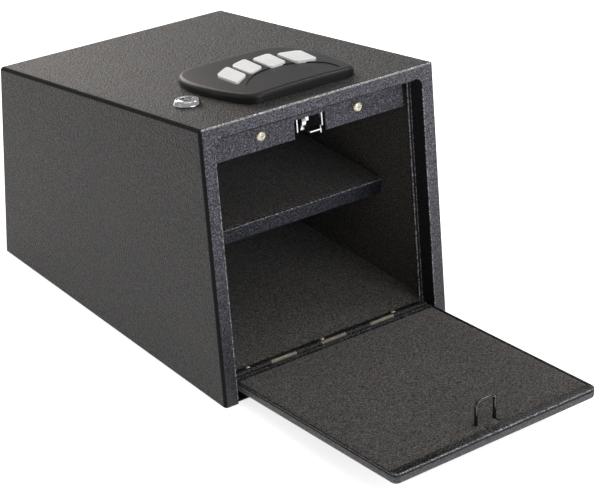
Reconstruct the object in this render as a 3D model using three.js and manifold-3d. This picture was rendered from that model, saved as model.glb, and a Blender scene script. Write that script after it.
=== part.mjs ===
// Compact two-tier gun safe: a wedge-shaped steel body whose front leans back, a drop-down front
// door on a continuous hinge, a lift-out shelf, a four-button keypad pod and a backup key lock.
// Millimetres. +X is the owner's right, the door faces -Y, +Z is up; the origin is the centre of
// the underside of the base.
import * as THREE from 'three';
import { mergeVertices } from 'three/addons/utils/BufferGeometryUtils.js';
import Module from 'manifold-3d';

const wasm = await Module();
wasm.setup();

// Driving dimensions.
const WIDTH = 254;
const FRONT_HEIGHT = 243;
const BACK_HEIGHT = 190.5;
const BASE_DEPTH = 348;
const TOP_DEPTH = 305;
const SHEET = 1.2;
const GAP = 0.3;
const EDGE_R = 3;
const OPEN_HALF = 113.3;
const OPEN_TOP = 235.4;
const RETURN_DEPTH = 17;
const PIN_Y = -161.3;
const PIN_Z = 19;
const KNUCKLE_R = 2.8;
const KNUCKLES = [40, 28, 28, 28, 28, 28, 40];
const RIVETS = [-90, -7, 76];
const RIVET_Y = -155.6;
const FLOOR_FOAM = 19.2;
const DOOR_HALF = 112.7;
const DOOR_START = 3.1;
const DOOR_END = 212.7;
const DOOR_THICK = 9;
const DOOR_RISE = 4.3;
const STAPLE_S = 193.8;
const STAPLE_LEFT = -9.4;
const STAPLE_RIGHT = 11.2;
const STAPLE_HEIGHT = 23;
const WIRE_R = 1.6;
const FOAM_IN = 120.5;
const FOAM_OUT = 125.3;
const SHELF_TOP = 110.1;
const SHELF_FRONT = -81;
const SHELF_BACK = 165;
const LIP_HEIGHT = 13.7;
const POD_X = 1.2;
const POD_HEIGHT = 7;
const POD_CROWN = 9.6;
const BUTTON_TOP = 10.9;
const LOCK_X = -89;
const LOCK_U = 69;
const SCREW_LEFT = -54;
const SCREW_RIGHT = 52;
const NOTCH_LEFT = -17.6;
const NOTCH_RIGHT = 16.6;
const LATCH_X = -1.2;
const CHEEK_LEFT = -12.7;
const CHEEK_RIGHT = 13.2;
const SCREW_S = 220.7;
const PIVOT_S = 226;
const PIVOT_D = 43.5;
const TAIL_S = 237;

const Y0 = -BASE_DEPTH / 2;
const BACK = BASE_DEPTH / 2;
const HALF = WIDTH / 2;
const LEAN = Math.atan2(BASE_DEPTH - TOP_DEPTH, FRONT_HEIGHT);
const SLOPE = Math.atan2(FRONT_HEIGHT - BACK_HEIGHT, TOP_DEPTH);
const Y1 = Y0 + BASE_DEPTH - TOP_DEPTH;

const object = new THREE.Group();

// Front frame: local y runs up the leaning front from its bottom edge, local z points outward.
const front = new THREE.Group();
front.position.set(0, Y0, 0);
front.rotation.x = Math.PI / 2 - LEAN;
// Top frame: local y runs back down the sloping top from its front edge, local z points outward.
const top = new THREE.Group();
top.position.set(0, Y1, FRONT_HEIGHT);
top.rotation.x = -SLOPE;
// Door frame: local x is the hinge pin, local y runs out along the open door, local z points to
// the door's outer face.
const door = new THREE.Group();
door.position.set(0, PIN_Y, PIN_Z);
door.rotation.x = Math.PI - THREE.MathUtils.degToRad(DOOR_RISE);
object.add(front, top, door);
object.updateMatrixWorld(true);

const COLORS = {
  coat: [0x4a484c, 0.62, 0.35],
  blackCoat: [0x1c1c1e, 0.6, 0.35],
  steel: [0x9c978c, 0.38, 0.9],
  zinc: [0xc4c0b0, 0.32, 0.95],
  chrome: [0xd8d8da, 0.12, 1],
  foam: [0x3c3a36, 0.95, 0],
  plastic: [0x333335, 0.5, 0],
  button: [0xf0f0ee, 0.45, 0],
  board: [0x1f4a33, 0.6, 0],
  cell: [0x3a3d42, 0.4, 0.3],
  copper: [0x9a5a34, 0.45, 0.7],
};

function solid(geometry, matrix) {
  const bare = new THREE.BufferGeometry();
  bare.setAttribute('position', geometry.getAttribute('position').clone());
  if (geometry.index) bare.setIndex(geometry.index.clone());
  if (matrix) bare.applyMatrix4(matrix);
  const merged = mergeVertices(bare, 1e-4);
  const index = merged.index.array;
  const kept = [];
  for (let i = 0; i < index.length; i += 3) {
    const [a, b, c] = [index[i], index[i + 1], index[i + 2]];
    if (a !== b && b !== c && c !== a) kept.push(a, b, c);
  }
  return new wasm.Manifold(new wasm.Mesh({
    numProp: 3,
    vertProperties: Float32Array.from(merged.getAttribute('position').array),
    triVerts: Uint32Array.from(kept),
  }));
}

function join(first, ...others) {
  return others.reduce((sum, next) => sum.add(next), first);
}

function cut(first, ...others) {
  return others.reduce((rest, next) => rest.subtract(next), first);
}

function place(name, shape, finish, parent = object) {
  let geometry = shape;
  if (!shape.isBufferGeometry) {
    const mesh = shape.getMesh();
    geometry = new THREE.BufferGeometry();
    geometry.setAttribute('position', new THREE.BufferAttribute(mesh.vertProperties, 3));
    geometry.setIndex(new THREE.BufferAttribute(mesh.triVerts, 1));
    geometry.computeVertexNormals();
  }
  const [color, roughness, metalness] = COLORS[finish];
  const material = new THREE.MeshStandardMaterial({ color, roughness, metalness });
  const node = new THREE.Mesh(geometry, material);
  node.name = name;
  parent.add(node);
}

function box(x0, x1, y0, y1, z0, z1) {
  const geometry = new THREE.BoxGeometry(1, 1, 1);
  const at = geometry.getAttribute('position');
  for (let i = 0; i < at.count; i += 1) {
    at.setXYZ(i, at.getX(i) < 0 ? x0 : x1, at.getY(i) < 0 ? y0 : y1, at.getZ(i) < 0 ? z0 : z1);
  }
  return geometry;
}

const block = (...sides) => solid(box(...sides));

// A cylinder from a to b along axis 'x', 'y' or 'z' through the two other coordinates p and q.
function rod(axis, radius, a, b, p, q, sides = 24) {
  const geometry = new THREE.CylinderGeometry(radius, radius, b - a, sides);
  geometry.translate(0, (a + b) / 2, 0);
  if (axis === 'x') geometry.rotateZ(-Math.PI / 2).translate(0, p, q);
  if (axis === 'y') geometry.translate(p, 0, q);
  if (axis === 'z') geometry.rotateX(Math.PI / 2).translate(p, q, 0);
  return solid(geometry);
}

function outline(points) {
  const shape = new THREE.Shape();
  shape.moveTo(...points[0]);
  for (const point of points.slice(1)) shape.lineTo(...point);
  shape.closePath();
  return shape;
}

function plate(shape, depth, curveSegments = 6) {
  return new THREE.ExtrudeGeometry(shape, { depth, bevelEnabled: false, curveSegments });
}

// A prism along x from x0 to x1 over an outline in the (y, z) plane.
function sideways(points, x0, x1) {
  const geometry = plate(outline(points), x1 - x0);
  geometry.applyMatrix4(new THREE.Matrix4().makeBasis(
    new THREE.Vector3(0, 1, 0), new THREE.Vector3(0, 0, 1), new THREE.Vector3(1, 0, 0)));
  geometry.translate(x0, 0, 0);
  return solid(geometry);
}

// A rectangle with some corners rounded, listed as radii from the lower left round to the upper left.
function roundedOutline(x0, x1, y0, y1, radii) {
  const [a, b, c, d] = radii;
  const shape = new THREE.Shape();
  shape.moveTo(x0 + a, y0);
  shape.lineTo(x1 - b, y0);
  if (b) shape.absarc(x1 - b, y0 + b, b, -Math.PI / 2, 0, false);
  shape.lineTo(x1, y1 - c);
  if (c) shape.absarc(x1 - c, y1 - c, c, 0, Math.PI / 2, false);
  shape.lineTo(x0 + d, y1);
  if (d) shape.absarc(x0 + d, y1 - d, d, Math.PI / 2, Math.PI, false);
  shape.lineTo(x0, y0 + a);
  if (a) shape.absarc(x0 + a, y0 + a, a, Math.PI, 1.5 * Math.PI, false);
  return shape;
}

// A turned piece about z; the profile runs anticlockwise in (radius, height).
function lathe(points, sides = 28) {
  const geometry = new THREE.LatheGeometry(points.map(([r, z]) => new THREE.Vector2(r, z)), sides);
  geometry.rotateX(Math.PI / 2);
  return geometry;
}

function yz(frame, y, z) {
  const point = new THREE.Vector3(0, y, z).applyMatrix4(frame.matrixWorld);
  return [point.y, point.z];
}

// The point that lies depth inside both the front and the top, in side view.
function frontTopCorner(depth) {
  const [fy, fz] = [Math.cos(LEAN), -Math.sin(LEAN)];
  const [ty, tz] = [-Math.sin(SLOPE), -Math.cos(SLOPE)];
  const det = fy * tz - fz * ty;
  return [Y1 + (depth * (tz - fz)) / det, FRONT_HEIGHT + (depth * (fy - ty)) / det];
}

function topHeight(y, depth) {
  return FRONT_HEIGHT - (y - Y1) * Math.tan(SLOPE) - depth / Math.cos(SLOPE);
}

// The wedge's envelope, drawn in by inset on the front, top and sides; low and back run past the
// open ends of the wrap.
function wedge(inset, low, back) {
  const r = Math.max(EDGE_R - inset, 0.6);
  const [cy, cz] = frontTopCorner(inset + r);
  const bend = [];
  for (let i = 0; i <= 5; i += 1) {
    const angle = Math.PI / 2 - SLOPE + (i / 5) * (Math.PI / 2 + SLOPE - LEAN);
    bend.push([cy + r * Math.cos(angle), cz + r * Math.sin(angle)]);
  }
  const side = sideways([
    yz(front, low / Math.cos(LEAN) - inset * Math.tan(LEAN), -inset), [back, low],
    [back, topHeight(back, inset)], ...bend], -140, 140);
  const section = (depth) => roundedOutline(
    -HALF + inset, HALF - inset, -depth, -inset, [0, 0, r, r]);
  const along = new THREE.Matrix4().makeBasis(
    new THREE.Vector3(1, 0, 0), new THREE.Vector3(0, 0, 1), new THREE.Vector3(0, -1, 0));
  const run = (frame, from) => frame.matrixWorld.clone()
    .multiply(new THREE.Matrix4().makeTranslation(0, from, 0)).multiply(along);
  return side
    .intersect(solid(plate(section(320), 460), run(top, 400)))
    .intersect(solid(plate(section(460), 340), run(front, 300)));
}

function bodyShell() {
  const wrap = wedge(0, 0, BACK).subtract(wedge(SHEET, -20, BACK + 30));
  const mouth = roundedOutline(-OPEN_HALF, OPEN_HALF, -30, OPEN_TOP, [1, 1, 8, 8]);
  const opening = solid(plate(mouth, 12).translate(0, 0, -6), front.matrixWorld);
  const above = block(-140, 140, -200, 200, SHEET + GAP, 300);
  const returns = [];
  for (const side of [-1, 1]) {
    const inner = side * OPEN_HALF;
    const outer = side * (OPEN_HALF + SHEET);
    const lip = side * (OPEN_HALF - 3);
    const span = (a, b) => [Math.min(a, b), Math.max(a, b)];
    returns.push(join(
      solid(box(...span(inner, outer), -10, OPEN_TOP + SHEET, -RETURN_DEPTH, -0.6),
        front.matrixWorld),
      solid(box(...span(lip, outer), -10, OPEN_TOP + SHEET, -RETURN_DEPTH, -RETURN_DEPTH + SHEET),
        front.matrixWorld)).intersect(above));
  }
  const lintel = solid(box(-OPEN_HALF - SHEET, OPEN_HALF + SHEET, OPEN_TOP, OPEN_TOP + SHEET,
    -14, -0.6), front.matrixWorld);
  const bore = (radius, x, u) => solid(new THREE.CylinderGeometry(radius, radius, 20, 28)
    .rotateX(Math.PI / 2).translate(x, u, 0), top.matrixWorld);
  return cut(join(cut(wrap, opening), ...returns, lintel),
    bore(9.4, LOCK_X, LOCK_U), bore(4.6, 0, 108));
}

function basePanel() {
  const half = HALF - SHEET - GAP;
  const floor = join(
    block(-half, half, Y0 + 2.6, BACK - 1.8, 0, SHEET),
    block(-half, -half + SHEET, Y0 + 22, BACK - 1.8, 0, 10),
    block(half - SHEET, half, Y0 + 22, BACK - 1.8, 0, 10));
  const holes = [];
  for (const x of [-85, 85]) {
    for (const y of [-95, 115]) holes.push(rod('z', 4, -2, 4, x, y));
  }
  return cut(floor, ...holes);
}

function backPanel() {
  const half = HALF - SHEET - GAP;
  const [, high] = yz(top, TOP_DEPTH / Math.cos(SLOPE) - 1, -SHEET - 0.5);
  const panel = block(-half, half, BACK - 1.5, BACK - GAP, SHEET + GAP, high - 1.6);
  return cut(panel, rod('y', 4, BACK - 4, BACK + 4, -70, 60), rod('y', 4, BACK - 4, BACK + 4, 70, 60));
}

// The header behind the top strip: turned-back ends, a top flange and the latch notch.
function headerPlate() {
  const d = -RETURN_DEPTH;
  const plateShape = join(
    block(-104.5, 104.5, 208.3, 244.4, d - SHEET, d),
    block(-104.5, -103.3, 208.3, 244.4, d - 11, d),
    block(103.3, 104.5, 208.3, 244.4, d - 11, d),
    block(-104.5, 104.5, 243.2, 244.4, d - 18, d));
  return cut(plateShape,
    block(NOTCH_LEFT, NOTCH_RIGHT, 200, 224.8, d - 3, d + 2),
    rod('z', 2.4, d - 3, d + 2, SCREW_LEFT, SCREW_S),
    rod('z', 2.4, d - 3, d + 2, SCREW_RIGHT, SCREW_S));
}

function headerScrew(x) {
  const d = -RETURN_DEPTH;
  const screw = lathe([
    [0, d - 8.5], [2, d - 8.5], [2, d + GAP], [4.7, d + GAP], [4.5, d + 1.4], [3.3, d + 2.4],
    [0, d + 2.8]], 24);
  screw.translate(x, SCREW_S, 0);
  return cut(solid(screw),
    block(x - 2.4, x + 2.4, SCREW_S - 0.45, SCREW_S + 0.45, d + 1.2, d + 4),
    block(x - 0.45, x + 0.45, SCREW_S - 2.4, SCREW_S + 2.4, d + 1.2, d + 4));
}

function nutRing(x, y, z0, z1, across, bore) {
  const hex = new THREE.CylinderGeometry(across / 1.732, across / 1.732, z1 - z0, 6);
  hex.rotateX(Math.PI / 2).translate(x, y, (z0 + z1) / 2);
  return cut(solid(hex), rod('z', bore, z0 - 1, z1 + 1, x, y));
}

// The continuous hinge.
function knuckleSpans(parity) {
  const spans = [];
  let x = -KNUCKLES.reduce((sum, length) => sum + length, 0) / 2;
  KNUCKLES.forEach((length, i) => {
    if (i % 2 === parity) spans.push([x + GAP / 2, x + length - GAP / 2]);
    x += length;
  });
  return spans;
}

function hingeLeafFixed() {
  const half = 109.7;
  const leaf = block(-half, half, PIN_Y, -147.5, PIN_Z - KNUCKLE_R, PIN_Z - KNUCKLE_R + SHEET);
  const clearance = knuckleSpans(1).map(
    ([a, b]) => block(a - GAP, b + GAP, PIN_Y - 4, PIN_Y + 3.4, PIN_Z - 4, PIN_Z + 4));
  const knuckles = knuckleSpans(0).map(([a, b]) => rod('x', KNUCKLE_R, Math.max(a, -half),
    Math.min(b, half), PIN_Y, PIN_Z));
  const bore = rod('x', 1.5, -120, 120, PIN_Y, PIN_Z, 16);
  const rivetHoles = RIVETS.map((x) => rod('z', 1.9, 10, 20, x, RIVET_Y, 16));
  return cut(join(cut(leaf, ...clearance), ...knuckles), bore, ...rivetHoles);
}

function hingeLeafDoor() {
  const leaf = block(-109.5, 109.5, KNUCKLE_R - SHEET, KNUCKLE_R, 0, 7.4);
  const clearance = knuckleSpans(0).map(
    ([a, b]) => block(a - GAP - 1, b + GAP, -4, 4, -4, KNUCKLE_R + 0.5));
  const knuckles = knuckleSpans(1).map(([a, b]) => rod('x', KNUCKLE_R, a, b, 0, 0));
  return cut(join(cut(leaf, ...clearance), ...knuckles), rod('x', 1.5, -120, 120, 0, 0, 16));
}

function hingeRail() {
  const half = 109.5;
  const high = PIN_Z - KNUCKLE_R - GAP;
  const rail = join(
    block(-half, half, -161, -146, SHEET + GAP, 2 * SHEET + GAP),
    block(-half, half, -161, -161 + SHEET, SHEET + GAP, high),
    block(-half, half, -161, -146, high - SHEET, high));
  return cut(rail, ...RIVETS.map((x) => rod('z', 1.9, 10, 20, x, RIVET_Y, 16)));
}

function rivet(x) {
  const z = PIN_Z - KNUCKLE_R + SHEET;
  const profile = [
    [0, z - 6.5], [1.6, z - 6.5], [1.6, z + GAP], [2.5, z + GAP], [2.3, z + 1.4], [1.4, z + 2.1],
    [0, z + 2.3]];
  return lathe(profile, 18).translate(x, RIVET_Y, 0);
}

// The drop-down door: a folded pan, its foam pad and the staple that the latch catches.
function doorPan() {
  const shape = (grow, r) => roundedOutline(
    -DOOR_HALF - grow, DOOR_HALF + grow, DOOR_START - grow, DOOR_END + grow, [1, 1, r, r]);
  const outer = solid(plate(shape(0, 5), DOOR_THICK));
  const hollow = solid(plate(shape(-SHEET, 3.8), DOOR_THICK - 2 * SHEET).translate(0, 0, SHEET));
  const mouth = block(-DOOR_HALF + SHEET, DOOR_HALF - SHEET, 8.7, 203.4, -1, 3);
  return cut(outer, hollow, mouth);
}

function stapleWire() {
  const legTop = -STAPLE_HEIGHT + WIRE_R;
  const r = 4.5;
  const at = (x, z) => new THREE.Vector3(x, STAPLE_S, z);
  const path = new THREE.CurvePath();
  const [left, right] = [STAPLE_LEFT, STAPLE_RIGHT];
  path.add(new THREE.LineCurve3(at(left, 7.2), at(left, legTop + r)));
  path.add(new THREE.QuadraticBezierCurve3(
    at(left, legTop + r), at(left, legTop), at(left + r, legTop)));
  path.add(new THREE.LineCurve3(at(left + r, legTop), at(right - r, legTop)));
  path.add(new THREE.QuadraticBezierCurve3(
    at(right - r, legTop), at(right, legTop), at(right, legTop + r)));
  path.add(new THREE.LineCurve3(at(right, legTop + r), at(right, 7.2)));
  const circle = new THREE.Shape().absarc(0, 0, WIRE_R, 0, 2 * Math.PI, false);
  return solid(new THREE.ExtrudeGeometry(
    circle, { steps: 30, extrudePath: path, curveSegments: 5, bevelEnabled: false }));
}

function doorFoam() {
  const half = DOOR_HALF - SHEET - GAP;
  const pad = join(
    block(-half, half, 9, 203.1, 0, 1.6),
    block(-half, half, 4.8, 203.1, 1.5, DOOR_THICK - SHEET - GAP));
  return cut(pad,
    rod('z', 2.1, -1, 10, STAPLE_LEFT, STAPLE_S, 16),
    rod('z', 2.1, -1, 10, STAPLE_RIGHT, STAPLE_S, 16));
}

// Foam lining and shelf.
const LEDGE_TOP = SHELF_TOP - SHEET - GAP;

// The floor foam lies over the inner edge of the hinge leaf.
function floorFoam() {
  return join(
    block(-120.2, 120.2, -145.5, 167, SHEET + GAP, FLOOR_FOAM),
    block(-109.2, 109.2, -152.8, -145, FLOOR_FOAM - 1.5, FLOOR_FOAM));
}

function sideFoamLower(side) {
  const [yLow, zLow] = [yz(front, 12.6 / Math.cos(LEAN) + 5.7, -32)[0], 12.6];
  const zHigh = LEDGE_TOP - SHEET - GAP;
  const yHigh = yLow + (zHigh - zLow) * Math.tan(LEAN);
  const [a, b] = side < 0 ? [-FOAM_OUT, -FOAM_IN] : [FOAM_IN, FOAM_OUT];
  const pad = sideways([[yLow, zLow], [166.9, zLow], [166.9, zHigh], [yHigh, zHigh]], a, b);
  const [c, d] = side < 0 ? [-126, -124] : [124, 126];
  return cut(pad, block(c, d, -76.4, 160.4, 94.6, 120));
}

function sideFoamUpper(side) {
  const z = LEDGE_TOP + GAP;
  const yLow = yz(front, 12.6 / Math.cos(LEAN) + 5.7, -32)[0] + (z - 12.6) * Math.tan(LEAN);
  const head = yz(top, 32, -SHEET - 0.6);
  const [, zBack] = yz(top, (166.9 - Y1) / Math.cos(SLOPE), -SHEET - 0.9);
  const [a, b] = side < 0 ? [-FOAM_OUT, -FOAM_IN] : [FOAM_IN, FOAM_OUT];
  return sideways([[yLow, z], [166.9, z], [166.9, zBack], head], a, b);
}

function ledge(side) {
  const span = (p, q) => (side < 0 ? [-q, -p] : [p, q]);
  return join(
    block(...span(111, 125.5), -76, 160, LEDGE_TOP - SHEET, LEDGE_TOP),
    block(...span(124.3, 125.5), -76, 160, 95, LEDGE_TOP));
}

function shelfTray() {
  return join(
    block(-119.9, 119.9, SHELF_FRONT, SHELF_BACK, SHELF_TOP - SHEET, SHELF_TOP),
    block(-119.9, 119.9, SHELF_FRONT, SHELF_FRONT + SHEET, SHELF_TOP - LIP_HEIGHT, SHELF_TOP),
    block(-108, 108, SHELF_BACK - SHEET, SHELF_BACK, SHELF_TOP - 10, SHELF_TOP));
}

// The keypad pod on the top.
function podOutline(inset) {
  const c = POD_X;
  const shape = new THREE.Shape();
  shape.moveTo(c - 46, 20.3);
  shape.lineTo(c + 46, 20.3);
  shape.quadraticCurveTo(c + 57.5, 20.5, c + 60.8, 34);
  shape.bezierCurveTo(c + 64.5, 49, c + 67.3, 68, c + 67.3, 88);
  shape.bezierCurveTo(c + 67.3, 112, c + 60, 133, c + 44, 133);
  shape.lineTo(c - 44, 133);
  shape.bezierCurveTo(c - 60, 133, c - 67.3, 112, c - 67.3, 88);
  shape.bezierCurveTo(c - 67.3, 68, c - 64.5, 49, c - 60.8, 34);
  shape.quadraticCurveTo(c - 57.5, 20.5, c - 46, 20.3);
  const ring = shape.extractPoints(6).shape.slice(1);
  const inner = ring.map((p, i) => {
    const before = ring[(i + ring.length - 1) % ring.length];
    const after = ring[(i + 1) % ring.length];
    const along = after.clone().sub(before).normalize();
    return [p.x - along.y * inset, p.y + along.x * inset];
  });
  return outline(inner);
}

// A prism along the top frame's y under a shallow crown that is high at the middle.
function crown(high, low, from, to) {
  const half = 70;
  const points = [[-half, -5], [half, -5]];
  for (let i = 0; i <= 16; i += 1) {
    const x = half - (2 * half * i) / 16;
    points.push([x, high - (high - low) * (x / half) ** 2]);
  }
  const geometry = plate(outline(points), to - from);
  geometry.rotateX(Math.PI / 2).translate(0, to, 0);
  return solid(geometry);
}

// Keys between two arcs: centre, half width, slope of the ends, lean of the long edges.
const BUTTONS = [
  [-31.9, 81.2, 10.7, 0.66, 0.118],
  [-6.8, 92, 9.8, 0.39, 0.155],
  [17.4, 91.7, 9.9, 0.12, 0.169],
  [41.3, 82.6, 9.7, -0.42, 0.187]];

function buttonBlock([x, y, half, slope, lean], grow, z0, z1) {
  const w = half + grow;
  const l = 17.5 + grow;
  const c = 2.7;
  const corners = [
    [-w + c, -l], [w - c, -l], [w - 0.4, -l + c], [w + 0.6, l - c], [w - c, l], [-w + c, l],
    [-w - 0.4, l - c], [-w + 0.4, -l + c]];
  const shape = outline(corners.map(([a, b]) => [x + a + lean * b, y + b + slope * a]));
  return solid(plate(shape, z1 - z0).translate(0, 0, z0));
}

function keypadHousing() {
  const base = plate(podOutline(0), POD_CROWN + 2 - GAP, 5).translate(0, 0, GAP);
  const eased = [[0, 4.8], [0.5, 6.2], [1.4, 7.3], [2.6, 8.1]].map(([inset, rise], i, steps) => {
    const low = i ? steps[i - 1][1] : -1;
    return solid(plate(podOutline(inset), rise - low, 5).translate(0, 0, low));
  });
  const skin = solid(base).intersect(join(...eased, solid(
    plate(podOutline(4), 6, 5).translate(0, 0, 6))))
    .intersect(crown(POD_CROWN, POD_HEIGHT + 0.6, 0, 150));
  const hollow = solid(plate(podOutline(2.2), 8, 5).translate(0, 0, -1)).intersect(
    crown(POD_CROWN - 2.2, POD_HEIGHT - 1.8, 0, 150));
  const windows = BUTTONS.map((button) => buttonBlock(button, 0.5, 1, 15));
  return cut(skin, hollow, ...windows, archRecess());
}

function archRecess() {
  const arch = new THREE.Shape();
  arch.moveTo(-50, 33);
  arch.lineTo(47, 29);
  arch.quadraticCurveTo(49.5, 42, 48, 52);
  arch.bezierCurveTo(36, 72, 18, 76.5, 6, 75);
  arch.bezierCurveTo(-16, 73, -38, 60, -50, 33);
  const sunk = solid(plate(arch, 6, 8)).translate([0, 0, POD_CROWN - 1]);
  return sunk.subtract(crown(POD_CROWN - 0.6, POD_HEIGHT, 0, 150));
}

// Key lock.
function lockBody() {
  return lathe([
    [5.8, -22], [9.1, -22], [9.1, GAP], [12, GAP], [12, 1.3], [10.4, 4.4], [9.4, 5.1], [5.8, 5.1],
    [5.8, -22]]);
}

function lockPlug() {
  const core = solid(lathe([
    [0, -25.2], [5.4, -25.2], [5.4, 4.6], [4.3, 4.6], [4.3, 0.8], [2.7, 0.8], [2.7, 4.6], [0, 4.6]]));
  return cut(core,
    block(-0.8, 0.8, 4, 8, 0.8, 8),
    rod('z', 2.2, -40, -18, 0, 0, 16));
}

function lockCam() {
  const tongue = join(block(0, 30, -6, 6, -27.6, -25.5), rod('z', 8, -27.6, -25.5, 0, 0));
  return cut(tongue, rod('z', 2.2, -40, -18, 0, 0, 16));
}

// Latch and solenoid, in the front frame (local z is minus the depth behind the front face).
function latchBracket() {
  const cheek = (x) => join(
    block(x, x + SHEET, 213, 243, -51.5, -18.5),
    block(x, x + SHEET, 228, 243, -85.5, -49));
  const flange = cut(block(-60, 60, 213, 232, -19.7, -18.5),
    block(-18.4, 17.4, 200, 226.5, -25, -15));
  const [left, right] = [CHEEK_LEFT - SHEET, CHEEK_RIGHT + SHEET];
  const bracket = join(
    flange,
    cheek(left),
    cheek(CHEEK_RIGHT),
    block(CHEEK_RIGHT, right, 206, 214, -47, -21),
    block(2, right, 208.4, 209.6, -33, -21),
    block(left, right, 241.8, 243, -48, -18.5));
  return cut(bracket,
    block(CHEEK_LEFT, CHEEK_RIGHT, 214, 241, -25, -15),
    rod('x', 1.9, -20, 20, PIVOT_S, -PIVOT_D, 16),
    rod('z', 2.4, -25, -15, SCREW_LEFT, SCREW_S),
    rod('z', 2.4, -25, -15, SCREW_RIGHT, SCREW_S));
}

function latchHook() {
  const profile = [
    [27.7, 210.5], [28.3, 210.5], [28.3, 217.4], [34, 217.4], [37.5, 219.4], [43.5, 221],
    [48.5, 226], [46.5, 232], [46.5, 240.5], [40.5, 240.5], [40.5, 232], [27.5, 224.5],
    [24.3, 220.5], [24.3, 217]];
  const arm = sideways(profile.map(([d, s]) => [s, -d]).reverse(), LATCH_X - 2.2, LATCH_X + 2.2);
  const tab = block(LATCH_X + 1, LATCH_X + 7.4, 217.6, 222.4, -28.4, -27.2);
  return cut(join(arm, tab),
    rod('x', 1.9, -15, 15, PIVOT_S, -PIVOT_D, 16),
    block(-15, 15, TAIL_S - 2.6, 250, -PIVOT_D - 1.6, -PIVOT_D + 1.6));
}

function plunger() {
  const yoke = cut(
    block(LATCH_X - 5.6, LATCH_X + 5.6, 233.4, 240.6, -50.5, -39.5),
    block(LATCH_X - 2.6, LATCH_X + 2.6, 230, 245, -48.1, -33.5));
  const stem = rod('z', 3, -75.5, -49.5, LATCH_X, TAIL_S);
  return cut(join(yoke, stem), rod('x', 1.4, -15, 10, TAIL_S, -PIVOT_D, 16));
}

function solenoidFrame() {
  const [left, right] = [LATCH_X - 8.7, LATCH_X + 8.7];
  const frame = join(
    block(left, right, 228.3, 229.5, -82.5, -57.5),
    block(left, right, 228.3, 244.4, -58.7, -57.5),
    block(left, right, 228.3, 244.4, -82.5, -81.3));
  return cut(frame, rod('z', 3.5, -92, -53, LATCH_X, TAIL_S));
}

function hookSpring() {
  class Helix extends THREE.Curve {
    getPoint(t, target = new THREE.Vector3()) {
      const angle = t * 3.25 * 2 * Math.PI;
      return target.set(LATCH_X + 3.4 + 6.5 * t, PIVOT_S + 3.2 * Math.cos(angle),
        -PIVOT_D + 3.2 * Math.sin(angle));
    }
  }
  const circle = new THREE.Shape().absarc(0, 0, 0.5, 0, 2 * Math.PI, false);
  return solid(new THREE.ExtrudeGeometry(
    circle, { steps: 44, extrudePath: new Helix(), curveSegments: 3, bevelEnabled: false }));
}

// Battery and control housing under the top, in the top frame.
const POWER_U = 90;
const POWER_LENGTH = 66;
const POWER_LOW = -30;

function powerHousing() {
  const skin = block(-62, 62, POWER_U, POWER_U + POWER_LENGTH, POWER_LOW, -SHEET - GAP);
  const room = block(-60.4, 60.4, POWER_U + 1.6, POWER_U + POWER_LENGTH - 1.6,
    POWER_LOW + 1.6, 5);
  const hatch = block(-33, 33, POWER_U + 6, POWER_U + POWER_LENGTH - 6, POWER_LOW - 2, POWER_LOW + 3);
  const ribs = [38, 56].map((x) => block(x, x + 1.5, POWER_U + 1, POWER_U + POWER_LENGTH - 1,
    POWER_LOW + 1, -12.3));
  return join(cut(skin, room, hatch), ...ribs);
}

// The keypad's cable, through its grommet and down to the control board.
function keypadCable() {
  const path = new THREE.CatmullRomCurve3([
    new THREE.Vector3(0, 108, 0.5), new THREE.Vector3(0, 108, -5),
    new THREE.Vector3(6, 108, -10.5), new THREE.Vector3(20, 108, -11.2),
    new THREE.Vector3(37.6, 108, -11.2)]);
  const circle = new THREE.Shape().absarc(0, 0, 1.5, 0, 2 * Math.PI, false);
  return solid(new THREE.ExtrudeGeometry(
    circle, { steps: 20, extrudePath: path, curveSegments: 4, bevelEnabled: false }));
}

function cell(i) {
  const x = -22.8 + 15.2 * i;
  const u = POWER_U + 8;
  const body = rod('y', 7.1, u, u + 48.5, x, -21, 20);
  return join(body, rod('y', 2.7, u + 48, u + 50, x, -21, 12));
}

place('body_shell', bodyShell(), 'coat');
place('base_panel', basePanel(), 'coat');
place('back_panel', backPanel(), 'coat');
place('header_plate', headerPlate(), 'coat', front);
for (const [tag, x] of [['left', SCREW_LEFT], ['right', SCREW_RIGHT]]) {
  place(`header_screw_${tag}`, headerScrew(x), 'zinc', front);
  place(`header_nut_${tag}`, nutRing(x, SCREW_S, -23.2, -20, 7, 2.4), 'zinc', front);
}
place('hinge_rail', hingeRail(), 'blackCoat');
place('hinge_leaf_fixed', hingeLeafFixed(), 'blackCoat');
RIVETS.forEach((x, i) => place(`hinge_rivet_${i + 1}`, rivet(x), 'zinc'));
place('hinge_pin', rod('x', 1.2, -109.6, 109.6, PIN_Y, PIN_Z, 16), 'steel');
place('hinge_leaf_door', hingeLeafDoor(), 'steel', door);
place('door_panel', doorPan(), 'blackCoat', door);
place('door_foam', doorFoam(), 'foam', door);
place('door_staple', stapleWire(), 'blackCoat', door);
place('floor_foam', floorFoam(), 'foam');
for (const [tag, side] of [['left', -1], ['right', 1]]) {
  place(`wall_foam_lower_${tag}`, sideFoamLower(side), 'foam');
  place(`wall_foam_upper_${tag}`, sideFoamUpper(side), 'foam');
  place(`shelf_ledge_${tag}`, ledge(side), 'blackCoat');
}
place('back_foam', box(-FOAM_OUT, FOAM_OUT, 167.3, 172.1, 12.6, 187), 'foam');
place('shelf_tray', shelfTray(), 'blackCoat');
place('shelf_foam', box(-119.6, 119.6, SHELF_FRONT + 2, SHELF_BACK - 0.5, SHELF_TOP + GAP,
  SHELF_TOP + 2.3), 'foam');
place('keypad_housing', keypadHousing(), 'plastic', top);
place('keypad_board', box(-55, 57, 40, 115, 0.8, 2.2), 'board', top);
BUTTONS.forEach((button, i) => {
  place(`keypad_button_${i + 1}`, buttonBlock(button, 0, 4, BUTTON_TOP), 'button', top);
});
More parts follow.
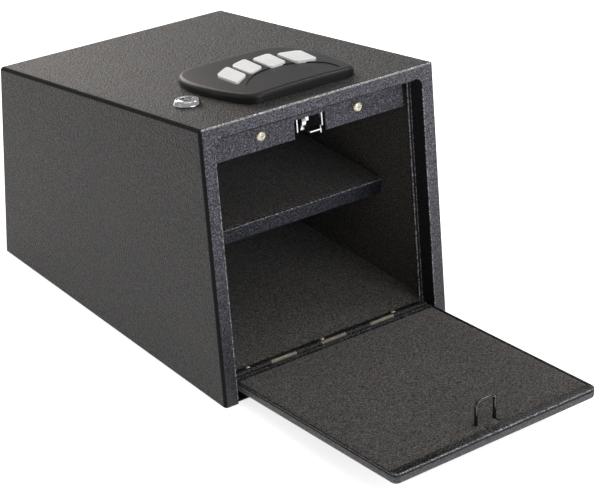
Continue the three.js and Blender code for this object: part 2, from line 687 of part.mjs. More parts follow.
place('lock_body', lockBody().translate(LOCK_X, LOCK_U, 0), 'chrome', top);
place('lock_nut', nutRing(LOCK_X, LOCK_U, -5.5, -1.5, 23, 9.4), 'zinc', top);
place('lock_plug', lockPlug().translate([LOCK_X, LOCK_U, 0]), 'chrome', top);
place('lock_cam', lockCam().translate([LOCK_X, LOCK_U, 0]), 'zinc', top);
place('lock_cam_screw', lathe([
  [0, -31], [3.2, -31], [3.8, -30], [3.8, -27.9], [1.8, -27.9], [1.8, -19], [0, -19]], 18)
  .translate(LOCK_X, LOCK_U, 0), 'zinc', top);
place('latch_bracket', latchBracket(), 'zinc', front);
place('latch_pivot_pin', rod('x', 1.5, -16.4, 16.4, PIVOT_S, -PIVOT_D, 16), 'steel', front);
place('latch_hook', latchHook(), 'zinc', front);
place('hook_spring', hookSpring(), 'steel', front);
place('solenoid_frame', solenoidFrame(), 'zinc', front);
place('solenoid_coil', lathe([
  [3.5, -81], [6.8, -81], [6.8, -59], [3.5, -59], [3.5, -81]], 24)
  .translate(LATCH_X, TAIL_S, 0), 'copper', front);
place('solenoid_plunger', plunger(), 'steel', front);
place('plunger_pin', rod('x', 1.1, LATCH_X - 5.5, LATCH_X + 5.5, TAIL_S, -PIVOT_D, 14), 'steel', front);
place('power_housing', powerHousing(), 'plastic', top);
for (let i = 0; i < 4; i += 1) place(`battery_cell_${i + 1}`, cell(i), 'cell', top);
place('battery_cover', box(-32.7, 32.7, POWER_U + 6.3, POWER_U + POWER_LENGTH - 6.3, POWER_LOW,
  POWER_LOW + 1.6), 'plastic', top);
place('control_board', box(38, 58, POWER_U + 6, POWER_U + 60, -12, -10.4), 'board', top);
place('keypad_cable', keypadCable(), 'blackCoat', top);
place('cable_grommet', lathe([
  [2.2, -3], [6.4, -3], [6.4, -1.6], [4.2, -1.6], [4.2, 0.3], [2.2, 0.3], [2.2, -3]], 20)
  .translate(0, 108, 0), 'blackCoat', top);

export default object;
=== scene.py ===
"""Looks of the small two-tier gun safe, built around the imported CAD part."""
import math

import bmesh
import bpy
from mathutils import Matrix, Vector, noise


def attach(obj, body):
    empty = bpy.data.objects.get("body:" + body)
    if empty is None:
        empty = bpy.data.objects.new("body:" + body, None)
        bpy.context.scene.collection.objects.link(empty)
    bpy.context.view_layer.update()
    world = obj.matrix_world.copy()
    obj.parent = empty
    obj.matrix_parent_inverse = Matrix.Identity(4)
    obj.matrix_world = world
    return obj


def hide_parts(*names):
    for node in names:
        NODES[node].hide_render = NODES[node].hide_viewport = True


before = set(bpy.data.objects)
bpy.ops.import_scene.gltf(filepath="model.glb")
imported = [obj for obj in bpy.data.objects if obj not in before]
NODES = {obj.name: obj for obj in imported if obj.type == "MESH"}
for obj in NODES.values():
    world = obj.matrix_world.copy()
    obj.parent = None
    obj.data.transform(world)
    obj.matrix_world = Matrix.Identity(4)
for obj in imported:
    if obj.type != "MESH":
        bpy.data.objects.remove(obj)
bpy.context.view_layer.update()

# Millimetres and angles of the CAD part: the leaning front, the sloping top and the open door.
MM = 0.001
HALF_WIDTH = 127
LEAN = math.atan2(43, 243)
SLOPE = math.atan2(52.5, 305)
DOOR_RISE = math.radians(4.3)
FRONT_FOOT = -174
BROW_Y, BROW_Z = -131, 243
HINGE_Y, HINGE_Z = -161.3, 19
SCALE = Matrix.Scale(MM, 4)
SIDES = (("left", -1), ("right", 1))


def local(y, z, turn):
    """A frame in millimetres with its origin on the middle plane, turned about x."""
    return Matrix.Translation(Vector((0, y, z)) * MM) @ Matrix.Rotation(turn, 4, "X") @ SCALE


WORLD = SCALE
FRONT = local(FRONT_FOOT, 0, math.pi / 2 - LEAN)
TOP = local(BROW_Y, BROW_Z, -SLOPE)
DOOR = local(HINGE_Y, HINGE_Z, math.pi - DOOR_RISE)


# ---------------------------------------------------------------- materials

def nodes_of(name):
    """A new material with its tree, its shader and the object coordinates."""
    material = bpy.data.materials.new(name)
    material.use_nodes = True
    tree = material.node_tree
    shader = tree.nodes["Principled BSDF"]
    coords = tree.nodes.new("ShaderNodeTexCoord")
    return material, tree, shader, coords.outputs["Object"]


def add(tree, kind, **values):
    """A shader node whose inputs and settings take the values given."""
    node = tree.nodes.new(kind)
    for key, value in values.items():
        if key in node.inputs:
            node.inputs[key].default_value = value
        else:
            setattr(node, key, value)
    return node


def ramp(tree, source, stops):
    """A colour ramp over source, with stops of (position, colour)."""
    node = tree.nodes.new("ShaderNodeValToRGB")
    elements = node.color_ramp.elements
    while len(elements) < len(stops):
        elements.new(0.5)
    for element, (position, color) in zip(elements, stops):
        element.position = position
        element.color = (*color, 1)
    tree.links.new(source, node.inputs["Fac"])
    return node.outputs["Color"]


def srgb(*values):
    """Linear colour from 0-255 display values."""
    return tuple((v / 255 / 12.92) if v < 10 else (((v / 255) + 0.055) / 1.055) ** 2.4 for v in values)


def mix(tree, fac, a, b, mode="MIX"):
    """Mixes a and b, each a socket, a colour or a number."""
    node = tree.nodes.new("ShaderNodeMix")
    node.data_type = "RGBA"
    node.blend_type = mode
    for socket, value in ((node.inputs[0], fac), (node.inputs[6], a), (node.inputs[7], b)):
        if hasattr(value, "links"):
            tree.links.new(value, socket)
        elif isinstance(value, tuple):
            socket.default_value = (*value, 1)
        else:
            socket.default_value = value
    return node.outputs[2]


def coat(name, dark, light, rough=0.5, cell=420, depth=0.5, glint_paint=0.35, paint_bend_shade=False,
         spread=0.3, shade_fades=(), height=0.9, spec=0.5):
    """Textured powder coat: rounded pebbles, glossier on their crowns, with painted shine on the crowns,
    painted shade in the valleys and painted glints.

    spread is the difference between pebbles, height their relief in mm, the bends flag paints a dark
    reflection along the outer bends as painted shade, and
    each fade given is (axis, start, stop, first, last): the tone's factor along that axis of the object, a
    painted shade gradient.
    """
    material, tree, shader, place = nodes_of(name)
    link = tree.links.new
    warp = add(tree, "ShaderNodeTexNoise", Scale=cell * 0.5, Detail=2.0)
    link(place, warp.inputs["Vector"])
    bent = mix(tree, 0.0022, place, warp.outputs["Color"], "ADD")
    cells = add(tree, "ShaderNodeTexVoronoi", feature="SMOOTH_F1", Scale=float(cell), Smoothness=0.6)
    link(bent, cells.inputs["Vector"])
    grit = add(tree, "ShaderNodeTexNoise", Scale=cell * 2.6, Detail=3.0, Roughness=0.6)
    link(place, grit.inputs["Vector"])
    drift = add(tree, "ShaderNodeTexNoise", Scale=9.0, Detail=2.0)
    link(place, drift.inputs["Vector"])
    # Painted shine on the pebble crowns and painted shade in their valleys.
    tone = ramp(tree, cells.outputs["Distance"], [(0.12, light), (0.62, dark)])
    patch = add(tree, "ShaderNodeTexNoise", Scale=cell * 0.9, Detail=1.0)
    link(place, patch.inputs["Vector"])
    uneven = ramp(tree, patch.outputs["Fac"], [(0.34, (1 - spread,) * 3), (0.66, (1 + spread,) * 3)])
    tone = mix(tree, 1.0, tone, uneven, "MULTIPLY")
    # Painted glints: bright specks added to the colour.
    painted_glints = ramp(tree, grit.outputs["Fac"], [(0.6, (0, 0, 0)), (0.68, (glint_paint,) * 3)])
    tone = mix(tree, 1.0, tone, painted_glints, "ADD")
    shade = ramp(tree, drift.outputs["Fac"], [(0.3, (0.94,) * 3), (0.7, (1.05,) * 3)])
    tone = mix(tree, 1.0, tone, shade, "MULTIPLY")
    # Painted shade: the tone falls off along an axis of the object.
    for axis, start, stop, first, last in shade_fades:
        parts = tree.nodes.new("ShaderNodeSeparateXYZ")
        link(place, parts.inputs[0])
        span = add(tree, "ShaderNodeMapRange", clamp=True)
        for socket, value in zip(span.inputs[1:5], (start, stop, first, last)):
            socket.default_value = value
        link(parts.outputs[axis], span.inputs[0])
        tone = mix(tree, 1.0, tone, span.outputs[0], "MULTIPLY")
    gloss = ramp(tree, cells.outputs["Distance"], [(0.1, (rough * 0.8,) * 3), (0.6, (rough * 1.3,) * 3)])
    # Painted shade: a dark reflection along the outer bends, with the coat rougher there.
    if paint_bend_shade:
        bend_shade = painted_bend_shade_mask(tree, place)
        tone = mix(tree, bend_shade, tone, srgb(2, 2, 2))
        gloss = mix(tree, bend_shade, gloss, (0.9, 0.9, 0.9))
    link(tone, shader.inputs["Base Color"])
    link(gloss, shader.inputs["Roughness"])
    relief = mix(tree, 0.3, cells.outputs["Distance"], grit.outputs["Fac"])
    bump = add(tree, "ShaderNodeBump", Strength=depth, Distance=height * MM, invert=True)
    link(relief, bump.inputs["Height"])
    link(bump.outputs["Normal"], shader.inputs["Normal"])
    shader.inputs["Specular IOR Level"].default_value = spec
    return material


def math_node(tree, operation, a, b=0.0):
    """One sum over sockets or numbers."""
    node = tree.nodes.new("ShaderNodeMath")
    node.operation = operation
    for socket, value in zip(node.inputs, (a, b)):
        if hasattr(value, "links"):
            tree.links.new(value, socket)
        else:
            socket.default_value = value
    return node.outputs[0]


BEND_REACH, BEND_FADE = 0.0034, 0.0012


def painted_bend_shade_mask(tree, place):
    """One along the body's outer bends, where a dark reflection is painted into the coat as shade, and
    nought elsewhere.
    """
    split = tree.nodes.new("ShaderNodeSeparateXYZ")
    tree.links.new(place, split.inputs[0])
    x, y, z = split.outputs
    side = math_node(tree, "SUBTRACT", HALF_WIDTH * MM, math_node(tree, "ABSOLUTE", x))

    def plane(y0, z0, ny, nz):
        a = math_node(tree, "MULTIPLY", math_node(tree, "SUBTRACT", y, y0), ny)
        b = math_node(tree, "MULTIPLY", math_node(tree, "SUBTRACT", z, z0), nz)
        return math_node(tree, "ABSOLUTE", math_node(tree, "ADD", a, b))

    def from_edge(a, b):
        squares = [math_node(tree, "MULTIPLY", v, v) for v in (a, b)]
        return math_node(tree, "SQRT", math_node(tree, "ADD", *squares))

    roof = plane(BROW_Y * MM, BROW_Z * MM, math.sin(SLOPE), math.cos(SLOPE))
    face = plane(FRONT_FOOT * MM, 0, -math.cos(LEAN), math.sin(LEAN))
    near = math_node(tree, "MINIMUM", from_edge(side, roof), from_edge(side, face))
    fade = math_node(tree, "DIVIDE", math_node(tree, "SUBTRACT", BEND_REACH, near), BEND_FADE)
    node = tree.nodes.new("ShaderNodeClamp")
    tree.links.new(fade, node.inputs[0])
    return node.outputs[0]


def foam(name, dark, light):
    """Closed-cell foam: a fine two-tone speckle over open pores."""
    material, tree, shader, place = nodes_of(name)
    link = tree.links.new
    speck = add(tree, "ShaderNodeTexNoise", Scale=620.0, Detail=3.0, Roughness=0.7)
    link(place, speck.inputs["Vector"])
    pores = add(tree, "ShaderNodeTexVoronoi", Scale=900.0)
    link(place, pores.inputs["Vector"])
    drift = add(tree, "ShaderNodeTexNoise", Scale=14.0, Detail=3.0)
    link(place, drift.inputs["Vector"])
    middle = tuple(0.5 * l + 0.5 * d for l, d in zip(light, dark))
    tone = ramp(tree, speck.outputs["Fac"], [(0.4, dark), (0.5, middle), (0.6, light)])
    # Painted glints: tiny bright specks added to the colour.
    glint = add(tree, "ShaderNodeTexNoise", Scale=1300.0, Detail=1.0)
    link(place, glint.inputs["Vector"])
    glints = ramp(tree, glint.outputs["Fac"], [(0.6, (0, 0, 0)), (0.66, (0.16,) * 3)])
    tone = mix(tree, 1.0, tone, glints, "ADD")
    shade = ramp(tree, drift.outputs["Fac"], [(0.3, (0.92,) * 3), (0.7, (1.06,) * 3)])
    link(mix(tree, 1.0, tone, shade, "MULTIPLY"), shader.inputs["Base Color"])
    height = mix(tree, 0.5, speck.outputs["Fac"], pores.outputs["Distance"])
    bump = add(tree, "ShaderNodeBump", Strength=0.55, Distance=0.0006)
    link(height, bump.inputs["Height"])
    link(bump.outputs["Normal"], shader.inputs["Normal"])
    shader.inputs["Roughness"].default_value = 0.95
    shader.inputs["Specular IOR Level"].default_value = 0.2
    shader.inputs["Sheen Weight"].default_value = 0.15
    return material


def metal(name, base, rough, grain=(1, 1, 1), scale=300, contrast=0.12):
    """Bare or plated metal with a directional grain and soft tarnish."""
    material, tree, shader, place = nodes_of(name)
    link = tree.links.new
    stretch = add(tree, "ShaderNodeMapping")
    stretch.inputs["Scale"].default_value = grain
    link(place, stretch.inputs["Vector"])
    lines = add(tree, "ShaderNodeTexNoise", Scale=float(scale), Detail=4.0)
    link(stretch.outputs["Vector"], lines.inputs["Vector"])
    cloud = add(tree, "ShaderNodeTexNoise", Scale=60.0, Detail=3.0)
    link(place, cloud.inputs["Vector"])
    low = tuple(c * (1 - contrast * 2) for c in base)
    tone = ramp(tree, cloud.outputs["Fac"], [(0.3, low), (0.65, base)])
    link(tone, shader.inputs["Base Color"])
    gloss = ramp(tree, lines.outputs["Fac"], [(0.3, (rough * 0.7,) * 3), (0.7, (rough * 1.35,) * 3)])
    link(gloss, shader.inputs["Roughness"])
    bump = add(tree, "ShaderNodeBump", Strength=0.15, Distance=0.0001)
    link(lines.outputs["Fac"], bump.inputs["Height"])
    link(bump.outputs["Normal"], shader.inputs["Normal"])
    shader.inputs["Metallic"].default_value = 1.0
    return material


def plastic(name, base, rough, depth=0.12, sss=0.0, painted_glow=0.0, spec=0.5):
    """Moulded plastic with a faint spark-eroded grain."""
    material, tree, shader, place = nodes_of(name)
    link = tree.links.new
    fine = add(tree, "ShaderNodeTexNoise", Scale=1600.0, Detail=3.0)
    link(place, fine.inputs["Vector"])
    cloud = add(tree, "ShaderNodeTexNoise", Scale=25.0, Detail=2.0)
    link(place, cloud.inputs["Vector"])
    low, high = tuple(c * 0.92 for c in base), tuple(min(c * 1.06, 1) for c in base)
    tone = ramp(tree, cloud.outputs["Fac"], [(0.3, low), (0.7, high)])
    link(tone, shader.inputs["Base Color"])
    gloss = ramp(tree, fine.outputs["Fac"], [(0.3, (rough * 0.88,) * 3), (0.7, (rough * 1.12,) * 3)])
    link(gloss, shader.inputs["Roughness"])
    bump = add(tree, "ShaderNodeBump", Strength=depth, Distance=0.0002)
    link(fine.outputs["Fac"], bump.inputs["Height"])
    link(bump.outputs["Normal"], shader.inputs["Normal"])
    shader.inputs["Specular IOR Level"].default_value = spec
    if sss:
        shader.inputs["Subsurface Weight"].default_value = sss
        shader.inputs["Subsurface Radius"].default_value = (0.003, 0.003, 0.003)
    # Painted light: the tone also glows.
    if painted_glow:
        link(tone, shader.inputs["Emission Color"])
        shader.inputs["Emission Strength"].default_value = painted_glow
    return material


BODY_COAT = coat("body_coat", srgb(14, 13, 12), srgb(50, 47, 44), rough=0.38, cell=640, depth=0.9,
                 glint_paint=0.1, paint_bend_shade=True, spread=0.45, height=1.3, spec=0.34)
# The front faces: a lighter, bluish copy of the body coat, which is painted light, with painted shade
# darkening the lower front.
FRONT_LIT_COAT = coat("front_coat", srgb(26, 26, 33), srgb(112, 112, 127), rough=0.32, cell=760, depth=1.0,
                  glint_paint=0.22, spread=0.62, height=1.5, shade_fades=((2, 0.02, 0.15, 0.25, 1.0),))
# Inside the opening and under the lintel: near black, which is painted shade.
INNER_SHADE_COAT = coat("inner_painted_shade", srgb(5, 5, 5), srgb(16, 15, 15), rough=0.55, cell=430, depth=0.6,
                  glint_paint=0.01)
# Bright beads on the hems, the mouth edges, the shelf lip and the door's lip: painted highlights.
BEAD_HIGHLIGHT_COAT = coat("bead_painted_highlight", srgb(50, 51, 55), srgb(184, 186, 192), rough=0.3, cell=700, depth=1.0,
                 glint_paint=0.4, spread=0.5)
# The bead along the top front edge: a painted highlight.
BROW_HIGHLIGHT_COAT = coat("brow_painted_highlight", srgb(110, 110, 112), srgb(226, 226, 226), rough=0.3, cell=760, depth=0.8,
                 glint_paint=0.2, spread=0.4)
# The top sheet: a lighter copy of the body coat, which is painted light.
TOP_LIT_COAT = coat("top_lit_coat", srgb(16, 15, 13), srgb(60, 56, 52), rough=0.36, cell=560, depth=1.0,
                glint_paint=0.4, paint_bend_shade=True, spread=0.7, height=2.4)
# The bends between the front and the top: a painted highlight.
EDGE_HIGHLIGHT_COAT = coat("edge_painted_highlight", srgb(92, 92, 88), srgb(150, 150, 144), rough=0.35, cell=560, depth=0.6,
                 glint_paint=0.03)
SHELF_COAT = coat("shelf_coat", srgb(26, 27, 34), srgb(62, 64, 76), rough=0.36, cell=430, depth=0.9,
                  glint_paint=0.02)
BLACK_COAT = coat("black_coat", srgb(3, 3, 3), srgb(22, 23, 23), rough=0.28, cell=560, depth=1.0,
                  glint_paint=0.4, spread=0.6)
WALL_COAT = coat("door_wall_coat", srgb(42, 40, 43), srgb(70, 68, 71), rough=0.42, cell=560, depth=0.3,
                 glint_paint=0.03)
HINGE_COAT = coat("hinge_coat", srgb(8, 8, 8), srgb(34, 34, 35), rough=0.24, cell=800, depth=1.0,
                  glint_paint=0.05)
WALL_FOAM = foam("lining_foam", srgb(16, 15, 13), srgb(88, 84, 76))
DOOR_FOAM = foam("door_foam", srgb(18, 16, 15), srgb(94, 89, 84))
BARE_STEEL = metal("bare_steel", srgb(128, 122, 111), 0.5, grain=(0.08, 1, 1), scale=900)
ZINC = metal("zinc_plate", srgb(226, 220, 196), 0.35, scale=400)
CREAM = metal("screw_plate", srgb(240, 234, 214), 0.5, scale=400, contrast=0.06)
BRIGHT = metal("bright_plate", srgb(225, 226, 228), 0.2, scale=300, contrast=0.05)
CHROME = metal("lock_chrome", srgb(228, 228, 230), 0.08, scale=500, contrast=0.03)
COPPER = metal("winding", srgb(168, 98, 58), 0.35, grain=(1, 1, 14), scale=120)
POD = plastic("pod_plastic", srgb(24, 23, 23), 0.38, spec=0.4)
# The keys also glow a little, which is painted light.
BUTTON = plastic("button_plastic", srgb(246, 248, 248), 0.4, depth=0.04, sss=0.15, painted_glow=0.06)
ENAMEL = plastic("staple_enamel", srgb(14, 14, 16), 0.16, depth=0.05, spec=0.9)
BOARD = plastic("board", srgb(34, 84, 56), 0.4)
CELL = plastic("cell_wrap", srgb(66, 70, 78), 0.25)
RUBBER = plastic("rubber", srgb(24, 24, 24), 0.7)


# ---------------------------------------------------------------- meshes

def finish_mesh(name, bm, matrix, body, material, replaces=(), angle=40):
    """Turns a bmesh in local millimetres into a piece that rides on a CAD body."""
    bmesh.ops.recalc_face_normals(bm, faces=bm.faces)
    mesh = bpy.data.meshes.new(name)
    bm.to_mesh(mesh)
    bm.free()
    mesh.transform(matrix)
    mesh.polygons.foreach_set("use_smooth", [True] * len(mesh.polygons))
    mesh.set_sharp_from_angle(angle=math.radians(angle))
    mesh.materials.append(material)
    piece = bpy.data.objects.new(name, mesh)
    bpy.context.scene.collection.objects.link(piece)
    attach(piece, body)
    if replaces:
        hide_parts(*replaces)
    return piece


def box_mesh(x0, x1, y0, y1, z0, z1):
    """A plain box between two places on each axis."""
    bm = bmesh.new()
    for v in bmesh.ops.create_cube(bm, size=1)["verts"]:
        v.co = Vector((x0 if v.co.x < 0 else x1, y0 if v.co.y < 0 else y1, z0 if v.co.z < 0 else z1))
    return bm


def soften(bm, radius):
    """Rounds every edge that turns by more than 30 degrees."""
    edges = [e for e in bm.edges if len(e.link_faces) == 2 and e.calc_face_angle(0) > math.radians(30)]
    bmesh.ops.bevel(bm, geom=edges, offset=radius, segments=3, profile=0.5, affect="EDGES",
                    clamp_overlap=True)


def slice_grid(bm, axis, start, stop, step):
    """Cuts a mesh across one axis at every step between start and stop."""
    normal = Vector((axis == 0, axis == 1, axis == 2))
    at = start + step
    while at < stop - step * 0.5:
        point = normal * at
        bmesh.ops.bisect_plane(bm, geom=bm.verts[:] + bm.edges[:] + bm.faces[:], dist=1e-4,
                               plane_co=point, plane_no=normal)
        at += step


# Foam sheets: grid, rounding, how far a skin sits in, and its waves as (pitch, swing).
FOAM_STEP = 9
FOAM_EDGE = 1.3
FOAM_SINK = 0.3
FOAM_WAVES = ((0.03, 0.22), (0.11, 0.1))


def pad(name, sides, matrix, body, material, node, thin, seed, cuts=()):
    """A foam sheet: softly rounded edges and a surface that is never quite flat.

    thin is the axis of its thickness, and each of cuts is the low and high corner of a box cut out of it.
    """
    x0, x1, y0, y1, z0, z1 = sides
    bm = box_mesh(*sides)
    soften(bm, min(FOAM_EDGE, 0.3 * min(x1 - x0, y1 - y0, z1 - z0)))
    spans = ((x0, x1), (y0, y1), (z0, z1))
    for axis, (a, b) in enumerate(spans):
        if axis != thin:
            slice_grid(bm, axis, a, b, FOAM_STEP)
    drift = Vector((seed * 7.3, seed * 3.1, seed * 1.7))
    for v in bm.verts:
        edge = min(min(v.co[i] - spans[i][0], spans[i][1] - v.co[i]) for i in range(3) if i != thin)
        wave = sum(noise.noise(v.co * pitch + drift) * swing for pitch, swing in FOAM_WAVES)
        sink = FOAM_SINK * math.exp(-max(edge, 0) / 4) + FOAM_SINK
        middle = sum(spans[thin]) / 2
        sign = 1 if v.co[thin] > middle else -1
        v.co[thin] -= sign * max(sink - wave, 0)
    piece = finish_mesh(name, bm, matrix, body, material, [node], 60)
    for low, high in cuts:
        carve(piece, cutter(box_mesh(low[0], high[0], low[1], high[1], low[2], high[2]), matrix))


def cutter(bm, matrix):
    """A bmesh in local millimetres as an object for carve to use up."""
    mesh = bpy.data.meshes.new("cutter")
    bm.to_mesh(mesh)
    bm.free()
    mesh.transform(matrix)
    tool = bpy.data.objects.new("cutter", mesh)
    bpy.context.scene.collection.objects.link(tool)
    return tool


def carve(piece, tool):
    """Cuts tool out of piece for good, and removes the tool."""
    bpy.context.view_layer.update()
    modifier = piece.modifiers.new("carve", "BOOLEAN")
    modifier.object = tool
    modifier.operation = "DIFFERENCE"
    modifier.solver = "EXACT"
    with bpy.context.temp_override(object=piece, active_object=piece, selected_objects=[piece]):
        bpy.ops.object.modifier_apply(modifier="carve")
    bpy.data.objects.remove(tool, do_unlink=True)


def dress(name, material, bevel):
    """Keeps a CAD node and gives it a finish and softened edges."""
    piece = NODES[name]
    piece.data.materials.clear()
    piece.data.materials.append(material)
    piece.data.polygons.foreach_set("use_smooth", [True] * len(piece.data.polygons))
    with bpy.context.temp_override(object=piece, active_object=piece, selected_objects=[piece]):
        bpy.ops.mesh.customdata_custom_splitnormals_clear()
    weld = piece.modifiers.new("weld", "WELD")
    weld.merge_threshold = 1e-6
    if bevel:
        soft = piece.modifiers.new("soft", "BEVEL")
        soft.width = bevel * MM
        soft.segments = 2
        soft.limit_method = "ANGLE"
        soft.angle_limit = math.radians(40)
        soft.use_clamp_overlap = True
        soft.harden_normals = True


# Every CAD node that stays as it is: its finish and the bevel of its edges.
for node, material, bevel in (
    ("body_shell", BODY_COAT, 0.5), ("base_panel", BODY_COAT, 0.3), ("back_panel", BODY_COAT, 0.3),
    ("header_plate", FRONT_LIT_COAT, 0.4), ("hinge_rail", BLACK_COAT, 0.3),
    ("hinge_leaf_fixed", HINGE_COAT, 0.25), ("hinge_leaf_door", BARE_STEEL, 0.25),
    ("hinge_pin", BARE_STEEL, 0.2), ("door_staple", ENAMEL, 0), ("shelf_tray", SHELF_COAT, 0.4),
    ("shelf_ledge_left", BLACK_COAT, 0.3), ("shelf_ledge_right", BLACK_COAT, 0.3),
    ("header_screw_left", CREAM, 0.15), ("header_screw_right", CREAM, 0.15),
    ("header_nut_left", ZINC, 0.2), ("header_nut_right", ZINC, 0.2), ("hinge_rivet_1", CREAM, 0),
    ("hinge_rivet_2", CREAM, 0), ("hinge_rivet_3", CREAM, 0), ("lock_nut", ZINC, 0.3),
    ("lock_cam", ZINC, 0.3), ("lock_cam_screw", ZINC, 0), ("latch_bracket", BRIGHT, 0.3),
    ("latch_hook", BRIGHT, 0.3), ("solenoid_frame", ZINC, 0.3), ("latch_pivot_pin", BARE_STEEL, 0.2),
    ("hook_spring", BARE_STEEL, 0), ("solenoid_plunger", BARE_STEEL, 0.3),
    ("plunger_pin", BARE_STEEL, 0.1), ("solenoid_coil", COPPER, 0.3), ("keypad_board", BOARD, 0.2),
    ("control_board", BOARD, 0.2), ("lock_plug", CHROME, 0.1), ("power_housing", POD, 0.4),
    ("battery_cover", POD, 0.4), ("keypad_cable", RUBBER, 0), ("cable_grommet", RUBBER, 0.2),
    *[(f"keypad_button_{i}", BUTTON, 0.55) for i in range(1, 5)],
    *[(f"battery_cell_{i}", CELL, 0.4) for i in range(1, 5)],
):
    dress(node, material, bevel)


def zone(name, materials, choose):
    """Gives the faces of a kept CAD node their finish by where they lie and which way they face."""
    piece = NODES[name]
    for material in materials:
        piece.data.materials.append(material)
    turn = piece.matrix_world.to_3x3()
    for face in piece.data.polygons:
        normal = (turn @ face.normal).normalized()
        face.material_index = choose(piece.matrix_world @ face.center / MM, normal)


def front_depth(p):
    """How far p lies behind the front plane, in mm."""
    return (p.y - FRONT_FOOT) * math.cos(LEAN) - p.z * math.sin(LEAN)


FRONT_OUT = Vector((0, -math.cos(LEAN), math.sin(LEAN)))
TOP_OUT = Vector((0, math.sin(SLOPE), math.cos(SLOPE)))


def body_zone(p, n):
    """Index of a face's finish: 0 body, 1 front with painted light, 2 inside the opening with painted
    shade, 3 edges with a painted highlight, 4 top with painted light.
    """
    if front_depth(p) > 0.5 and abs(p.x) < 116 and p.y < -100 and abs(n.dot(TOP_OUT)) < 0.9:
        return 2
    facing = n.dot(FRONT_OUT)
    if facing > 0.97 and abs(front_depth(p)) < 1:
        return 1
    if 0.3 < facing <= 0.97 and n.z > 0.3 and abs(n.x) < 0.1:
        return 3
    if n.dot(TOP_OUT) > 0.97:
        return 4
    return 0


zone("body_shell", (FRONT_LIT_COAT, INNER_SHADE_COAT, EDGE_HIGHLIGHT_COAT, TOP_LIT_COAT), body_zone)

# Foam lining, shelf pad and door pad.
pad("lining_floor", (-120.2, 120.2, -152.6, 167, 1.5, 19.2), WORLD, "body", WALL_FOAM, "floor_foam", 2, 1,
    cuts=[((-130, -170, -5), (130, -145.4, 17.7))])
pad("lining_back", (-125.3, 125.3, 167.3, 172.1, 12.6, 187), WORLD, "body", WALL_FOAM, "back_foam", 1, 2)
pad("shelf_pad", (-119.6, 119.6, -80.2, 164.5, 110.4, 112.4), WORLD, "shelf", WALL_FOAM, "shelf_foam", 2, 3)
pad("door_pad", (-111.2, 111.2, 4.8, 203.1, 0, 7.5), DOOR, "door", DOOR_FOAM, "door_foam", 2, 4,
    cuts=[((10.4, 193, -1), (11.9, 201, 3)), ((-5.6, 198.5, -1), (-4.4, 204, 3))])


# The side pads: their outline in (y, z), the x of their two faces, and how far the soft face sits in.
LOWER_WALL = ((-139.3, 12.6), (166.9, 12.6), (166.9, 107.1), (-122.57, 107.1))
UPPER_WALL = ((-122.2, 108.9), (166.9, 108.9), (166.9, 188.8), (-99.8, 235.8))
WALL_INNER, WALL_OUTER = 120.5, 125.3
RIM_DIP, MIDDLE_DIP = 0.45, 0.25


def side_pad(name, node, side, outline, seed):
    """A wall pad cut to the wedge: its front edge leans and its top edge falls towards the back."""
    bm = bmesh.new()
    rows = []
    steps_y, steps_z = 34, 12
    (ay, az), (by, bz), (cy, cz), (dy, dz) = outline
    for x in (WALL_INNER, WALL_OUTER):
        grid = []
        for j in range(steps_z + 1):
            t = j / steps_z
            row = []
            for i in range(steps_y + 1):
                s = i / steps_y
                y = (1 - t) * ((1 - s) * ay + s * by) + t * ((1 - s) * dy + s * cy)
                z = (1 - t) * ((1 - s) * az + s * bz) + t * ((1 - s) * dz + s * cz)
                rim = min(s, 1 - s, t, 1 - t)
                wave = 0.2 * noise.noise(Vector((x + seed, y * 0.05, z * 0.05)))
                dip = RIM_DIP if rim == 0 else MIDDLE_DIP
                inward = (dip - wave) if x == WALL_INNER else 0
                row.append(bm.verts.new((side * (x + inward), y, z)))
            grid.append(row)
        rows.append(grid)
    for grid in rows:
        for j in range(steps_z):
            for i in range(steps_y):
                bm.faces.new((grid[j][i], grid[j][i + 1], grid[j + 1][i + 1], grid[j + 1][i]))
    a, b = rows
    ring = [(0, i) for i in range(steps_y)] + [(j, steps_y) for j in range(steps_z)]
    ring += [(steps_z, i) for i in range(steps_y, 0, -1)] + [(j, 0) for j in range(steps_z, 0, -1)]
    for k, (j, i) in enumerate(ring):
        m, n = ring[(k + 1) % len(ring)]
        bm.faces.new((a[j][i], a[m][n], b[m][n], b[j][i]))
    rims = [e for e in bm.edges if len(e.link_faces) == 2 and e.calc_face_angle(0) > 1.0]
    bmesh.ops.bevel(bm, geom=rims, offset=0.9, segments=3, profile=0.5, affect="EDGES")
    piece = finish_mesh(name, bm, WORLD, "body", WALL_FOAM, [node], 60)


for tag, side in SIDES:
    side_pad(f"lining_lower_{tag}", f"wall_foam_lower_{tag}", side, LOWER_WALL, 5 + side)
    side_pad(f"lining_upper_{tag}", f"wall_foam_upper_{tag}", side, UPPER_WALL, 9 + side)

# A strip behind the joint of the two wall pads, so that no dark gap shows.
for tag, side in SIDES:
    strip = box_mesh(*sorted((side * 120.9, side * 125.2)), -121.5, -77, 106.8, 109.2)
    finish_mesh(f"lining_joint_{tag}", strip, WORLD, "body", WALL_FOAM)


# ---------------------------------------------------------------- keypad pod, lock, door pan

POD_X, POD_Y = 1.2, 78
CROWN_HEIGHT, CROWN_FALL, CROWN_REACH = 9.6, 2.0, 70
ARCH_DEPTH = 0.65
KEY_FLOOR, KEY_GAP = 2.9, 0.5
LOCK_CENTRE = (-89, 69)


def curve(*points):
    """Points along a Bezier curve of any order, without its last point."""
    steps = 14
    out = []
    for i in range(steps):
        row = [Vector(p) for p in points]
        while len(row) > 1:
            row = [a.lerp(b, i / steps) for a, b in zip(row, row[1:])]
        out.append(row[0])
    return out


